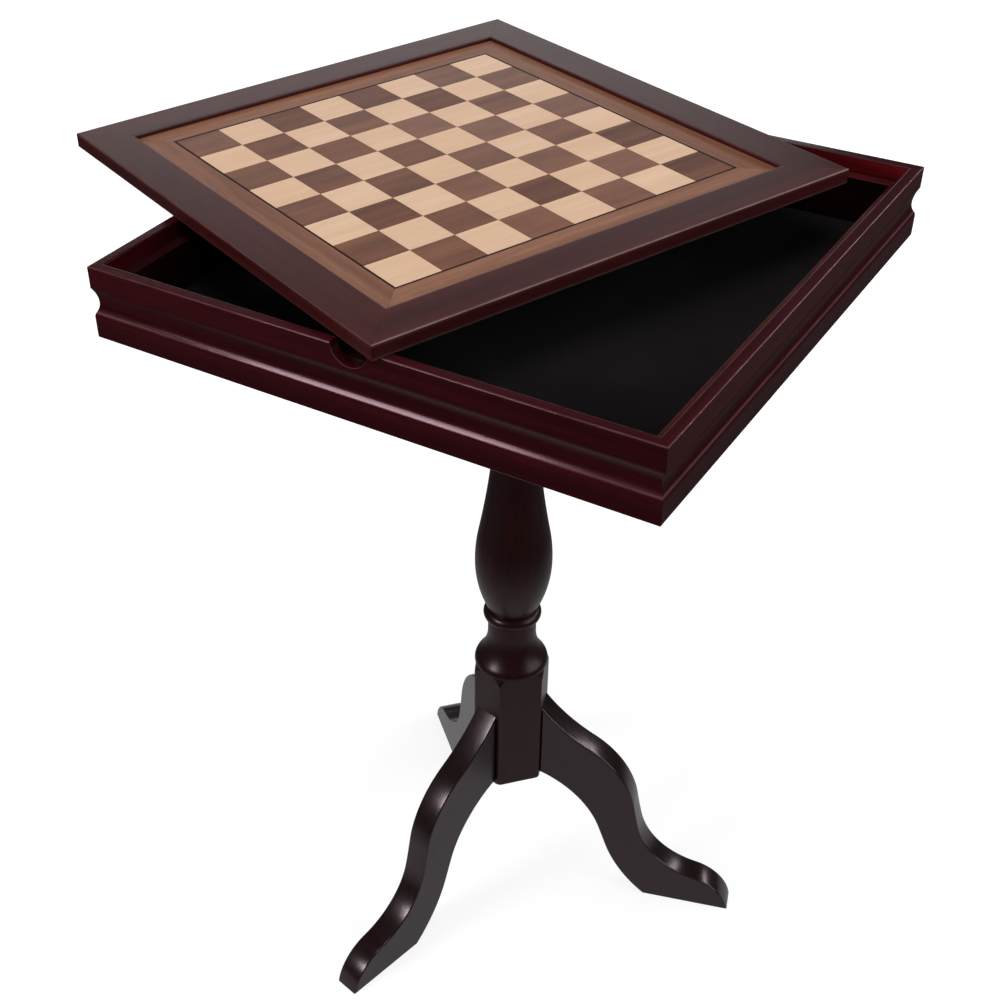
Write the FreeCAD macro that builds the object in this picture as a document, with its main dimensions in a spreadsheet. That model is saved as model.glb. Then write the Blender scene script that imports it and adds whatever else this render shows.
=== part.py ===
import FreeCAD, Part
import math
import os

import Sketcher

# A square tray on a turned tripod pedestal, with an inlaid chess board that lifts out of the tray.
# The pedestal's axis is Z, the floor is z = 0 and the tray's front rail faces -Y. The board is
# lifted out, turned and laid on the tray's rim. Lengths are millimetres and angles are degrees.

SIZES = {
    # lift-out board, from the middle outwards
    "square": 39.5,
    "string_width": 1.8,
    "border_width": 23.2,
    "frame_width": 35.5,
    "board_thickness": 12,
    "panel_recess": 3.5,  # the playing surface lies this far below the frame
    "under_recess": 2,
    "veneer": 1,
    "core_tongue": 6,
    "core_clearance": 0.3,
    "board_x": -96.6,  # where the board's centre lies on the rim
    "board_y": 49.2,
    # tray, made to the board
    "board_clearance": 1,  # from the board that is let in to the rails
    "board_sink": 0.5,  # the board lies this far below the rim when it is let in
    "table_height": 720,  # floor to the tray's rim
    "tray_height": 58,
    "rail_thickness": 9,
    "top_band": 17.5,  # flat of the moulding above the cove
    "lower_band": 17,  # flat of the moulding below the cove
    "lip_rise": 3.6,  # rounded edge between the lower flat and the cove
    "cove_depth": 3.4,
    "edge_ease": 0.8,  # arris taken off the sharp edges of the rails
    "notch_radius": 15,  # finger notch in the front rail
    "panel_thickness": 5,
    "panel_lip": 3,  # the rails reach this far below the bottom panel
    "panel_groove": 4,
    "panel_clearance": 0.5,
    "ledge_width": 10,
    "lining_thickness": 1.5,
    "lining_clearance": 0.5,
    # fixing of the tray to the pedestal
    "block_width": 150,
    "block_thickness": 20,
    "block_chamfer": 3,
    "insert_radius": 7.5,
    "insert_length": 16,
    "bolt_radius": 5,
    "bolt_in_column": 45,
    "hole_clearance": 0.2,
    # turned column with its hexagonal foot block
    "column_foot": 143,  # floor to the foot block's underside
    "foot_ease": 1.5,
    "foot_flats": 63,  # across the flats of the hexagon, from a leg's flat to the free one
    "flats_top": 279,  # height at which the flats run out
    "tongue_drop": 10,  # the block's corners begin to round off this far below the flats' top
    "shoulder_drop": 1.5,  # the bell's rim begins this far below the flats' top
    "bell_radius": 33.8,
    "waist_radius": 21.9,
    "bead_radius": 26.2,
    "vase_radius": 34.1,
    "neck_radius": 17.2,
    "collar_radius": 27,
    # legs, dovetailed into the foot block
    "leg_reach": 227,  # axis to the toe
    "foot_length": 84,  # toe to heel on the floor
    "leg_top": 231,  # floor to the leg's top at the foot block
    "leg_under": 147.5,  # floor to the leg's underside at the foot block
    "leg_thickness": 24,
    "leg_ease": 1.6,
    "dovetail_root": 9,
    "dovetail_tip": 13,
    "dovetail_depth": 10,
    "dovetail_stop": 20,  # the dovetail ends this far below the leg's top
    "dovetail_clearance": 0.15,
    # cuts run this far past the faces that they open
    "overrun": 5,
}

# the column stops short of square with the tray, and the board lies askew on the rim
ANGLES = {"base_angle": -12.3, "board_angle": -22.1}
SIDES = ("front", "right", "back", "left")
LEGS = ("front", "right", "rear")
FULL_TURN = 360
QUARTER_TURN = FULL_TURN / 4
FILES = 8
TOUCH = 1e-6

# the tray's cove: where its lip ends and where it is deepest
LIP_DEPTH_SHARE = 0.32
COVE_LOW_SHARE = 0.37
# the foot block's flats that carry the legs stand further out than the free ones, and are narrower
LEG_FLAT_SHARE = 0.52
FREE_FLAT_SHARE = 1 - LEG_FLAT_SHARE
LEG_FLAT_WIDTH_SHARE = (2 * FREE_FLAT_SHARE - LEG_FLAT_SHARE) * 2 / math.sqrt(3)
CORNER_SHARE = math.hypot(LEG_FLAT_SHARE, LEG_FLAT_WIDTH_SHARE / 2)
TURNED_CORNER_SHARE = 0.99
# heights on the turned part of the column, as shares of its length above the flats
BELL_BEND_SHARE = 0.0188
WAIST_SHARE = 0.094
BEAD_FOOT_SHARE = 0.1352
BEAD_SHARE = 0.1525
BEAD_TOP_SHARE = 0.1694
VASE_FOOT_SHARE = 0.235
VASE_SHARE = 0.3115
VASE_SHOULDER_SHARE = 0.399
NECK_SHARE = 0.7268
COLLAR_SHARE = 0.926
# radii of the column between the named ones
BELL_BEND_RADIUS_SHARE = 0.929
VASE_FOOT_RADIUS_SHARE = 0.897
VASE_SHOULDER_RADIUS_SHARE = 0.915
FLARE_RADIUS_SHARE = 0.78
# points of the leg's upper edge, as shares of its reach past the foot block and of its height
BACK_MIDDLE_SHARES = (0.1132, 0.8947)
BACK_SHARES = (0.248, 0.8095)
KNEE_SHARES = (0.4834, 0.5195)
SHIN_SHARES = (0.514, 0.398)
INSTEP_SHARES = (0.8107, 0.158)
# points of the leg's lower edge, as shares of the heel's reach past the foot block and of the height
ARCH_MIDDLE_SHARES = (0.773, 0.1212)
ANKLE_SHARES = (0.619, 0.2684)
CALF_SHARES = (0.55, 0.3636)


CELLS = {**SIZES, **ANGLES}


class Size:
    """A number with the sheet formula that gives it, so that one sum both draws and binds."""

    def __init__(self, value, text):
        self.value = value
        self.text = text

    def joined(self, sign, other, value):
        return Size(value, f"({self.text} {sign} {size_of(other).text})")

    def __add__(self, other):
        return self.joined("+", other, self.value + size_of(other).value)

    def __sub__(self, other):
        return self.joined("-", other, self.value - size_of(other).value)

    def __mul__(self, other):
        return self.joined("*", other, self.value * size_of(other).value)

    def __truediv__(self, other):
        return self.joined("/", other, self.value / size_of(other).value)

    def __neg__(self):
        return Size(-self.value, f"(-{self.text})")


def size_of(value):
    return value if isinstance(value, Size) else Size(value, f"({value:.12g})")


def named(alias):
    return Size(CELLS[alias], f"sizes.{alias}")


def between(low, high, share):
    return low + (high - low) * share


def point_of(spot):
    return FreeCAD.Vector(size_of(spot[0]).value, size_of(spot[1]).value, 0)


class Outline:
    """A closed outline of straight lines, arcs through a point and arcs tangent to the piece before."""

    def __init__(self, x, y):
        self.start = (x, y)
        self.steps = []

    def line(self, x, y):
        self.steps.append(("line", None, (x, y)))
        return self

    def through(self, middle, end):
        self.steps.append(("through", middle, end))
        return self

    def tangent(self, x, y):
        self.steps.append(("tangent", None, (x, y)))
        return self

    def draw(self, sketch):
        """Adds the outline to a sketch, with every corner bound to its formula."""
        pieces = []
        here = self.start
        heading = None
        for kind, middle, end in self.steps + [("line", None, self.start)]:
            start, stop = point_of(here), point_of(end)
            if kind == "line":
                curve = Part.LineSegment(start, stop)
                heading = (stop - start).normalize()
            elif kind == "through":
                curve = Part.Arc(start, point_of(middle), stop)
                heading = heading_after(start, point_of(middle), stop)
            else:
                curve, heading = tangent_arc(start, heading, stop)
            index = sketch.addGeometry(curve)
            first = 1 if sketch.getPoint(index, 1).isEqual(start, TOUCH) else 2
            last = 3 - first
            pieces.append((index, first, last, kind))
            bind_point(sketch, index, first, here)
            if kind == "through":
                guide = sketch.addGeometry(Part.Point(point_of(middle)), True)
                bind_point(sketch, guide, 1, middle)
                sketch.addConstraint(Sketcher.Constraint("PointOnObject", guide, 1, index))
            here = end
        for before, after in zip(pieces, pieces[1:] + pieces[:1]):
            joint = "Tangent" if after[3] == "tangent" else "Coincident"
            sketch.addConstraint(Sketcher.Constraint(joint, before[0], before[2], after[0], after[1]))


def bind_point(sketch, index, end, spot):
    for axis, value in zip(("DistanceX", "DistanceY"), spot):
        size = size_of(value)
        row = sketch.addConstraint(Sketcher.Constraint(axis, index, end, size.value))
        sketch.setExpression(f"Constraints[{row}]", size.text)


def heading_after(start, middle, stop):
    """The direction of travel at the end of the arc through three points."""
    spoke = stop - Part.Circle(start, middle, stop).Center
    heading = FreeCAD.Vector(-spoke.y, spoke.x, 0).normalize()
    return heading if heading * (stop - middle) > 0 else -heading


def tangent_arc(start, heading, stop):
    """The arc that leaves a point along a heading and ends at another, with its heading there."""
    chord = stop - start
    along = FreeCAD.Vector(chord).normalize()
    ahead = heading * along
    across = heading - along * ahead
    lean = math.atan2(across.Length, ahead)
    rise = across.normalize() * (chord.Length / 2 * math.tan(lean / 2))
    curve = Part.Arc(start, start + chord / 2 + rise, stop)
    return curve, along * (2 * ahead) - heading


def rectangle(left, bottom, right, top):
    return Outline(left, bottom).line(right, bottom).line(right, top).line(left, top)


doc = FreeCAD.newDocument("chess_table")
sheet = doc.addObject("Spreadsheet::Sheet", "sizes")
for number, (alias, amount) in enumerate(CELLS.items(), start=1):
    sheet.set(f"A{number}", alias)
    sheet.set(f"B{number}", str(amount))
    sheet.setAlias(f"B{number}", alias)
doc.recompute()

sub_parts = []


def keep(part, name):
    part.Label = name
    sub_parts.append(part)
    return part


def place(part, x, y, z, angle=0):
    """Puts an object at a point, turned about the vertical."""
    part.Placement = FreeCAD.Placement(FreeCAD.Vector(), FreeCAD.Rotation(FreeCAD.Vector(0, 0, 1), 1))
    for axis, value in (("x", x), ("y", y), ("z", z)):
        part.setExpression(f"Placement.Base.{axis}", size_of(value).text)
    part.setExpression("Placement.Rotation.Angle", size_of(angle).text)


def new_body(name):
    return doc.addObject("PartDesign::Body", name)


def datum(body, role):
    return [feature for feature in body.Origin.OriginFeatures if feature.Role == role][0]


def sketch_on(body, role, *outlines, height=0):
    """A sketch of outlines on one of the body's origin planes, or at a height over it."""
    sketch = body.newObject("Sketcher::SketchObject", f"{body.Name}_sketch")
    sketch.AttachmentSupport = [(datum(body, role), "")]
    sketch.MapMode = "FlatFace"
    sketch.setExpression("AttachmentOffset.Base.z", size_of(height).text)
    for outline in outlines:
        outline.draw(sketch)
    return sketch


def add_circle(sketch, x, y, radius):
    circle = Part.Circle(point_of((x, y)), FreeCAD.Vector(0, 0, 1), radius.value)
    index = sketch.addGeometry(circle)
    bind_point(sketch, index, 3, (x, y))
    row = sketch.addConstraint(Sketcher.Constraint("Radius", index, radius.value))
    sketch.setExpression(f"Constraints[{row}]", radius.text)


def pad(body, sketch, length, side="One side"):
    feature = body.newObject("PartDesign::Pad", f"{body.Name}_pad")
    feature.Profile = sketch
    feature.SideType = side
    feature.setExpression("Length", length.text)
    doc.recompute()


def pocket(body, sketch, length=None, upwards=False):
    """Cuts a sketch to a depth, or right through both ways where no depth is given."""
    before = body.Shape.Volume
    feature = body.newObject("PartDesign::Pocket", f"{body.Name}_pocket")
    feature.Profile = sketch
    if length is None:
        feature.Type = "ThroughAll"
        feature.SideType = "Symmetric"
    else:
        feature.Reversed = upwards
        feature.setExpression("Length", length.text)
    doc.recompute()
    if body.Shape.Volume >= before:
        raise RuntimeError(f"a cut in {body.Name} takes nothing away")
    return feature


def bevel(body, amount, wanted):
    """Bevels the edges of a body that pass a test."""
    last = body.Tip
    edges = [f"Edge{n}" for n, edge in enumerate(last.Shape.Edges, start=1) if wanted(edge)]
    feature = body.newObject("PartDesign::Chamfer", f"{body.Name}_bevel")
    feature.Base = (last, edges)
    feature.setExpression("Size", amount.text)
    doc.recompute()


def square_body(name, half, thickness):
    """A square board with its top face on the XY plane."""
    body = new_body(name)
    sketch = sketch_on(body, "XY_Plane", rectangle(-half, -half, half, half), height=-thickness)
    pad(body, sketch, thickness)
    return body


def mitred_strip(name, outline, reach, width):
    """A strip along the front side of a square, its ends cut at 45 degrees on the square's diagonals."""
    body = new_body(name)
    pad(body, sketch_on(body, "YZ_Plane", outline), reach * 2, "Symmetric")
    far = reach + named("overrun")
    near = reach - width - named("overrun")
    right_end = Outline(far, -far).line(far, -near).line(near, -near)
    left_end = Outline(-far, -far).line(-far, -near).line(-near, -near)
    pocket(body, sketch_on(body, "XY_Plane", right_end, left_end))
    return body


def side_angles(prefix, suffix=""):
    """The four sides' names with their quarter turns from the front."""
    return [(f"{prefix}_{side}{suffix}", QUARTER_TURN * n) for n, side in enumerate(SIDES)]


def leg_angle(leg):
    """The way that a leg points: the first to the front, the others a third of a turn apart."""
    return FULL_TURN / len(LEGS) * LEGS.index(leg) - QUARTER_TURN


def group(name, members):
    """One node of like pieces, each a solid of its own."""
    compound = doc.addObject("Part::Compound", name)
    compound.Links = members
    return compound


field_half = named("square") * (FILES / 2)
string_half = field_half + named("string_width")
frame_inner = string_half + named("border_width")
board_half = frame_inner + named("frame_width")
opening_half = board_half + named("board_clearance")
tray_half = opening_half + named("rail_thickness")
tray_height = named("tray_height")
tray_under = named("table_height") - tray_height
panel_top = named("panel_lip") + named("panel_thickness")
ledge_half = opening_half - named("ledge_width")


def tray_rail_outline():
    """The rail's section: two flats with a cove between them, and the bottom panel's groove inside."""
    outer, inner = -tray_half, -opening_half
    ease, cove = named("edge_ease"), named("cove_depth")
    lip_top = named("lower_band") + named("lip_rise")
    cove_top = tray_height - named("top_band")
    groove = inner - named("panel_groove")
    outline = Outline(inner, 0).line(outer + ease, 0).line(outer, ease)
    outline.line(outer, named("lower_band")).tangent(outer + cove * LIP_DEPTH_SHARE, lip_top)
    outline.tangent(outer + cove, between(lip_top, cove_top, COVE_LOW_SHARE))
    outline.tangent(outer, cove_top).line(outer, tray_height - ease).line(outer + ease, tray_height)
    outline.line(inner - ease, tray_height).line(inner, tray_height - ease)
    outline.line(inner, panel_top).line(groove, panel_top)
    return outline.line(groove, named("panel_lip")).line(inner, named("panel_lip"))


def build_tray():
    for name, angle in side_angles("tray", "_rail"):
        rail = mitred_strip(name, tray_rail_outline(), tray_half, named("rail_thickness"))
        if name == "tray_front_rail":
            notch = sketch_on(rail, "XZ_Plane")
            add_circle(notch, 0, tray_height, named("notch_radius"))
            pocket(rail, notch)
        place(keep(rail, name), 0, 0, tray_under, angle)
    ledge_top = tray_height - named("board_thickness") - named("board_sink")
    for name, angle in side_angles("ledge"):
        section = rectangle(-opening_half, panel_top, -ledge_half, ledge_top)
        ledge = mitred_strip(name, section, opening_half, named("ledge_width"))
        place(keep(ledge, name), 0, 0, tray_under, angle)
    lining = square_body(
        "tray_lining", ledge_half - named("lining_clearance"), named("lining_thickness")
    )
    lining_top = tray_under + panel_top + named("lining_thickness")
    place(keep(lining, "tray_lining"), 0, 0, lining_top)
    panel_half = opening_half + named("panel_groove") - named("panel_clearance")
    panel = square_body("tray_bottom_panel", panel_half, named("panel_thickness"))
    place(keep(panel, "tray_bottom_panel"), 0, 0, tray_under + panel_top)


block_top = tray_under + named("panel_lip")
column_top = block_top - named("block_thickness")


def build_block():
    """The block glued under the panel, with a seat for the threaded insert."""
    thickness = named("block_thickness")
    block = square_body("mounting_block", named("block_width") / 2, thickness)

    def is_under(edge):
        return all(abs(vertex.Z + thickness.value) < TOUCH for vertex in edge.Vertexes)

    bevel(block, named("block_chamfer"), is_under)
    seat = sketch_on(block, "XY_Plane", height=-thickness)
    add_circle(seat, 0, 0, named("insert_radius") + named("hole_clearance"))
    pocket(block, seat, named("insert_length"), upwards=True)
    place(keep(block, "mounting_block"), 0, 0, block_top)


def build_insert_and_bolt():
    insert = new_body("block_insert")
    ring = sketch_on(insert, "XY_Plane")
    add_circle(ring, 0, 0, named("insert_radius"))
    add_circle(ring, 0, 0, named("bolt_radius") + named("hole_clearance"))
    pad(insert, ring, named("insert_length"))
    place(keep(insert, "block_insert"), 0, 0, column_top)
    bolt = new_body("column_bolt")
    shaft = sketch_on(bolt, "XY_Plane")
    add_circle(shaft, 0, 0, named("bolt_radius"))
    pad(bolt, shaft, named("bolt_in_column") + named("insert_length"))
    place(keep(bolt, "column_bolt"), 0, 0, column_top - named("bolt_in_column"))


leg_flat = named("foot_flats") * LEG_FLAT_SHARE
foot_corner = named("foot_flats") * CORNER_SHARE


def column_outline():
    """Half of the turned shape, from the foot block up over bell, bead, vase and neck to the collar."""
    foot, flats_top = named("column_foot"), named("flats_top")
    corner, bell = foot_corner * TURNED_CORNER_SHARE, named("bell_radius")
    waist, vase, collar = named("waist_radius"), named("vase_radius"), named("collar_radius")

    def level(share):
        return between(flats_top, column_top, share)

    outline = Outline(0, foot).line(corner - named("foot_ease"), foot)
    outline.line(corner, foot + named("foot_ease")).line(corner, flats_top - named("tongue_drop"))
    outline.tangent(bell, flats_top - named("shoulder_drop")).line(bell, flats_top)
    outline.tangent(bell * BELL_BEND_RADIUS_SHARE, level(BELL_BEND_SHARE))
    outline.tangent(waist, level(WAIST_SHARE)).line(waist, level(BEAD_FOOT_SHARE))
    outline.through((named("bead_radius"), level(BEAD_SHARE)), (waist, level(BEAD_TOP_SHARE)))
    outline.through((vase * VASE_FOOT_RADIUS_SHARE, level(VASE_FOOT_SHARE)), (vase, level(VASE_SHARE)))
    outline.tangent(vase * VASE_SHOULDER_RADIUS_SHARE, level(VASE_SHOULDER_SHARE))
    outline.tangent(named("neck_radius"), level(NECK_SHARE))
    outline.tangent(collar * FLARE_RADIUS_SHARE, level(COLLAR_SHARE))
    outline.line(collar, level(COLLAR_SHARE)).line(collar, column_top)
    return outline.line(0, column_top)


def foot_block():
    """The hexagon of the foot block, a leg's flat and a free flat by turns."""
    half_width = named("foot_flats") * LEG_FLAT_WIDTH_SHARE / 2
    corners = []
    for leg in LEGS:
        angle = math.radians(leg_angle(leg))
        cosine, sine = math.cos(angle), math.sin(angle)
        for along in (-half_width, half_width):
            corners.append((leg_flat * cosine - along * sine, leg_flat * sine + along * cosine))
    outline = Outline(*corners[0])
    for corner in corners[1:]:
        outline.line(*corner)
    return outline


def housing_outline():
    """The dovetail housing in the foot block's front flat, open through the flat."""
    gap = named("dovetail_clearance")
    root = named("dovetail_root") / 2 + gap
    tip = named("dovetail_tip") / 2 + gap
    mouth = -leg_flat - named("overrun")
    deep = named("dovetail_depth") + gap - leg_flat
    outline = Outline(-root, mouth).line(root, mouth).line(root, -leg_flat).line(tip, deep)
    return outline.line(-tip, deep).line(-root, -leg_flat)


def build_column():
    """Turned, cut to six flats at the foot, housed for three dovetails and bored for the bolt."""
    column = new_body("column")
    profile = sketch_on(column, "XZ_Plane", column_outline())
    turning = column.newObject("PartDesign::Revolution", "column_turning")
    turning.Profile = profile
    turning.ReferenceAxis = (profile, ["V_Axis"])
    doc.recompute()
    flats = sketch_on(column, "XY_Plane", foot_block())
    add_circle(flats, 0, 0, foot_corner + named("overrun"))
    pocket(column, flats, named("flats_top"), upwards=True)
    housing = sketch_on(column, "XY_Plane", housing_outline())
    housing_top = named("leg_top") - named("dovetail_stop") + named("dovetail_clearance")
    housing_cut = pocket(column, housing, housing_top, upwards=True)
    housings = column.newObject("PartDesign::PolarPattern", "column_housings")
    housings.Originals = [housing_cut]
    housings.Axis = (datum(column, "Z_Axis"), [""])
    housings.Angle = FULL_TURN
    housings.Occurrences = len(LEGS)
    column.Tip = housings
    doc.recompute()
    bore = sketch_on(column, "XY_Plane", height=column_top)
    add_circle(bore, 0, 0, named("bolt_radius") + named("hole_clearance"))
    pocket(column, bore, named("bolt_in_column"))
    place(keep(column, "column"), 0, 0, 0, named("base_angle"))


def leg_outline():
    """The leg's S, from the foot block over knee and instep to the toe, and back under the heel."""
    toe, top = named("leg_reach"), named("leg_top")
    heel = toe - named("foot_length")

    def upper(shares):
        return between(leg_flat, toe, shares[0]), top * shares[1]

    def lower(shares):
        return between(leg_flat, heel, shares[0]), top * shares[1]

    outline = Outline(leg_flat, top).through(upper(BACK_MIDDLE_SHARES), upper(BACK_SHARES))
    outline.tangent(*upper(KNEE_SHARES)).tangent(*upper(SHIN_SHARES)).tangent(*upper(INSTEP_SHARES))
    outline.tangent(toe, 0).line(heel, 0)
    outline.through(lower(ARCH_MIDDLE_SHARES), lower(ANKLE_SHARES)).tangent(*lower(CALF_SHARES))
    return outline.tangent(leg_flat, named("leg_under"))


def dovetail_outline():
    """The dovetail on the leg's inner end, running a little way into the leg."""
    root, tip = named("dovetail_root") / 2, named("dovetail_tip") / 2
    inside = leg_flat + named("overrun")
    end = leg_flat - named("dovetail_depth")
    outline = Outline(inside, -root).line(inside, root).line(leg_flat, root).line(end, tip)
    return outline.line(end, -tip).line(leg_flat, -root)


def is_leg_arris(edge):
    """The long edges of the leg's two sides; the edges on the floor stay sharp."""
    across = [abs(vertex.Y) for vertex in edge.Vertexes]
    on_side = edge.BoundBox.YLength < TOUCH and min(across) > TOUCH
    return on_side and edge.BoundBox.ZMax > TOUCH


def build_legs():
    for name in LEGS:
        leg = new_body(f"leg_{name}")
        pad(leg, sketch_on(leg, "XZ_Plane", leg_outline()), named("leg_thickness"), "Symmetric")
        bevel(leg, named("leg_ease"), is_leg_arris)
        dovetail = sketch_on(leg, "XY_Plane", dovetail_outline(), height=named("leg_under"))
        pad(leg, dovetail, named("leg_top") - named("dovetail_stop") - named("leg_under"))
        place(keep(leg, f"leg_{name}"), 0, 0, 0, named("base_angle") + leg_angle(name))


core_under = named("under_recess") + named("veneer")
field_top = named("board_thickness") - named("panel_recess")
core_top = field_top - named("veneer")


def place_on_rim(part, height=0, angle=0):
    """Puts a piece of the board where the board lies on the rim."""
    z = named("table_height") + height
    place(part, named("board_x"), named("board_y"), z, named("board_angle") + angle)


def frame_rail_outline():
    """The board's frame rail, grooved along its inner edge for the core."""
    outer, inner = -board_half, -frame_inner
    ease, top = named("edge_ease"), named("board_thickness")
    groove = inner - named("core_tongue")
    outline = Outline(inner, 0).line(outer + ease, 0).line(outer, ease).line(outer, top - ease)
    outline.line(outer + ease, top).line(inner - ease, top).line(inner, top - ease)
    outline.line(inner, core_top).line(groove, core_top)
    return outline.line(groove, core_under).line(inner, core_under)


def build_board_frame():
    """Mitred rails, core, backing veneer, and the border and stringing round the field."""
    border_section = rectangle(-frame_inner, core_top, -string_half, field_top)
    string_section = rectangle(-string_half, core_top, -field_half, field_top)
    for name, angle in side_angles("board", "_rail"):
        rail = mitred_strip(name, frame_rail_outline(), board_half, named("frame_width"))
        place_on_rim(keep(rail, name), angle=angle)
    core_half = frame_inner + named("core_tongue") - named("core_clearance")
    core = square_body("board_core", core_half, core_top - core_under)
    place_on_rim(keep(core, "board_core"), core_top)
    backing = square_body("board_backing", frame_inner, named("veneer"))
    place_on_rim(keep(backing, "board_backing"), core_under)
    for name, angle in side_angles("border"):
        strip = mitred_strip(name, border_section, frame_inner, named("border_width"))
        place_on_rim(keep(strip, name), angle=angle)
    for name, angle in side_angles("string"):
        strip = mitred_strip(name, string_section, string_half, named("string_width"))
        place_on_rim(keep(strip, name), angle=angle)


def build_squares():
    """The inlaid squares; the square at the field's front left corner is dark."""
    tiles = {"dark_squares": [], "light_squares": []}
    for file in range(FILES):
        for rank in range(FILES):
            tile = doc.addObject("Part::Box", "tile")
            for side, amount in (("Length", "square"), ("Width", "square"), ("Height", "veneer")):
                tile.setExpression(side, named(amount).text)
            x = named("square") * file - field_half
            y = named("square") * rank - field_half
            place(tile, x, y, core_top)
            tiles["light_squares" if (file + rank) % 2 else "dark_squares"].append(tile)
    for name, members in tiles.items():
        place_on_rim(keep(group(name, members), name))


def check_and_write():
    doc.recompute()
    for thing in doc.Objects:
        if "Invalid" in thing.State or "Error" in thing.State:
            raise RuntimeError(f"{thing.Label} failed: {thing.State}")
    for part in sub_parts:
        if part.Shape.isNull() or not part.Shape.isValid():
            raise RuntimeError(f"{part.Label} has no valid shape")
    os.makedirs("parts", exist_ok=True)
    for part in sub_parts:
        part.Shape.exportStep(f"parts/{part.Label}.step")
        print(part.Label, len(part.Shape.Solids), round(part.Shape.Volume))


build_tray()
build_block()
build_insert_and_bolt()
build_column()
build_legs()
build_board_frame()
build_squares()
check_and_write()
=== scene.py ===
import math

import bpy
import numpy as np
from mathutils import Matrix


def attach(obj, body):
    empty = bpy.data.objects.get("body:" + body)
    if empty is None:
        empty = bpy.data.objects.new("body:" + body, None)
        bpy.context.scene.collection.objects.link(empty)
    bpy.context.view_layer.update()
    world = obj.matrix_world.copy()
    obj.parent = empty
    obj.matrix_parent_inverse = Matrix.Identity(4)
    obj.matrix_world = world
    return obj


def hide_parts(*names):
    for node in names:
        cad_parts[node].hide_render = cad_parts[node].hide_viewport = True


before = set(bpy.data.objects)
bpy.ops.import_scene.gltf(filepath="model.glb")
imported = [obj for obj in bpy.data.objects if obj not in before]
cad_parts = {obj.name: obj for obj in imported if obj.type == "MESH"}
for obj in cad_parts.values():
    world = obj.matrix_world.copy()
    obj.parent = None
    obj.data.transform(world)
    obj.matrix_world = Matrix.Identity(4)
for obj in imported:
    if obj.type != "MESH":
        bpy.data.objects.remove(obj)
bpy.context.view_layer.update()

# The pedestal's axis is Z, the floor is z = 0 and the tray's front rail faces -Y. Shapes are worked out in
# millimetres and put into the meshes in metres.
MM = 0.001

# Sides, legs, base and board: the angles in degrees at which they are set down, and the board's centre
SIDES = {"front": 0, "right": 90, "back": 180, "left": 270}
LEGS = {"front": -90, "right": 30, "rear": 150}
BASE_ANGLE = -12.3
BOARD_ANGLE = -22.1
BOARD_CENTRE = (-96.6, 49.2)

# Sizes of the tray
RIM = 720
TRAY_UNDER = 662
TRAY_HALF = 228.5
OPENING_HALF = 219.5
LOWER_BAND_TOP = 679
LIP_TOP = 682.6
LIP_SHARE = 0.32
COVE_TOP = 702.5
COVE_DEPTH = 3.4
COVE_LOW_SHARE = 0.37
COVE_LOW = LIP_TOP + COVE_LOW_SHARE * (COVE_TOP - LIP_TOP)
LIP_DEPTH = LIP_SHARE * COVE_DEPTH
PANEL_UNDER = 665
PANEL_TOP = 670
PANEL_GROOVE = 4
EASE = 1.1
NOTCH_RADIUS = 15
LEDGE_HALF = 209.5
LEDGE_TOP = 707.5
LEDGE_EASE = 0.6

# Felt: its size, and the height and length of the waves in its upper face
FELT_HALF = 209
FELT_THICKNESS = 1.5
FELT_SWELL = 0.12
FELT_SWELL_START = 0.4
FELT_SWELL_LENGTHS = (31, 37)
FELT_RIPPLE = 0.08
FELT_RIPPLE_LENGTH = 19

# Sizes of the board
BOARD_HALF = 218.5
FRAME_INNER = 183
BOARD_TOP = 732
CORE_UNDER = 723
CORE_TOP = 727.5
CORE_TONGUE = 6
FIELD_TOP = 728.5
STRING_HALF = 159.8
SQUARE = 39.5
SQUARES_A_SIDE = 8
FIELD_HALF = SQUARES_A_SIDE * SQUARE / 2
SQUARE_GAP = 0.05
SQUARE_EASE = 0.15

# Sizes of the column: heights, radii, and points of the turned line as (radius, height)
FOOT_UNDER = 143
FOOT_EASE = 1.5
FOOT_DRAWN_IN = 0.7
LEG_FLAT = 32.76
FREE_FLAT = 30.24
CORNER = 36.1
TONGUE_FOOT = 269
BELL_FOOT = 277.5
BELL_RADIUS = 33.8
FLATS_TOP = 279
SHOULDER = 280.5
BELL_SHOULDER = (31.4, 285.9)
STEM_RADIUS = 21.9
STEM_FOOT = 313.4
BEAD_FOOT = 328.5
BEAD_MIDDLE = (26.2, 334.8)
BEAD_TOP = 341
VASE_LOWER = (30.6, 365)
VASE_WIDEST = (34.1, 393)
VASE_UPPER = (31.2, 425)
NECK_WAIST = (17.2, 545)
NECK_TOP = (21.06, 617.9)
COLLAR_RADIUS = 27
COLUMN_TOP = 645

# Sizes of a leg: its thickness, points of its outline as (reach, height), and how many eases from each of
# its corners the outline's other points stay
LEG_HALF = 12
LEG_EASE = 1.5
LEG_TOP = (LEG_FLAT, 231)
LEG_BACK = (54.75, 206.7)
LEG_KNEE = (80.9, 187)
LEG_SHIN = (126.7, 120)
LEG_ANKLE = (132.6, 91.9)
LEG_INSTEP = (190.2, 36.5)
LEG_TOE = (227, 0)
LEG_HEEL = (143, 0)
LEG_HEEL_RISE = (118, 28)
LEG_ARCH_SIDE = (101, 62)
LEG_ARCH = (93.4, 84)
LEG_UNDER = (LEG_FLAT, 147.5)
LEG_CORNER_EASES = (5.0, 2.2, 2.2, 2.2)
LEG_GRAIN_FALL = math.radians(52)
CHEEK_DRAWN_IN = LEG_EASE + 0.4

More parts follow.
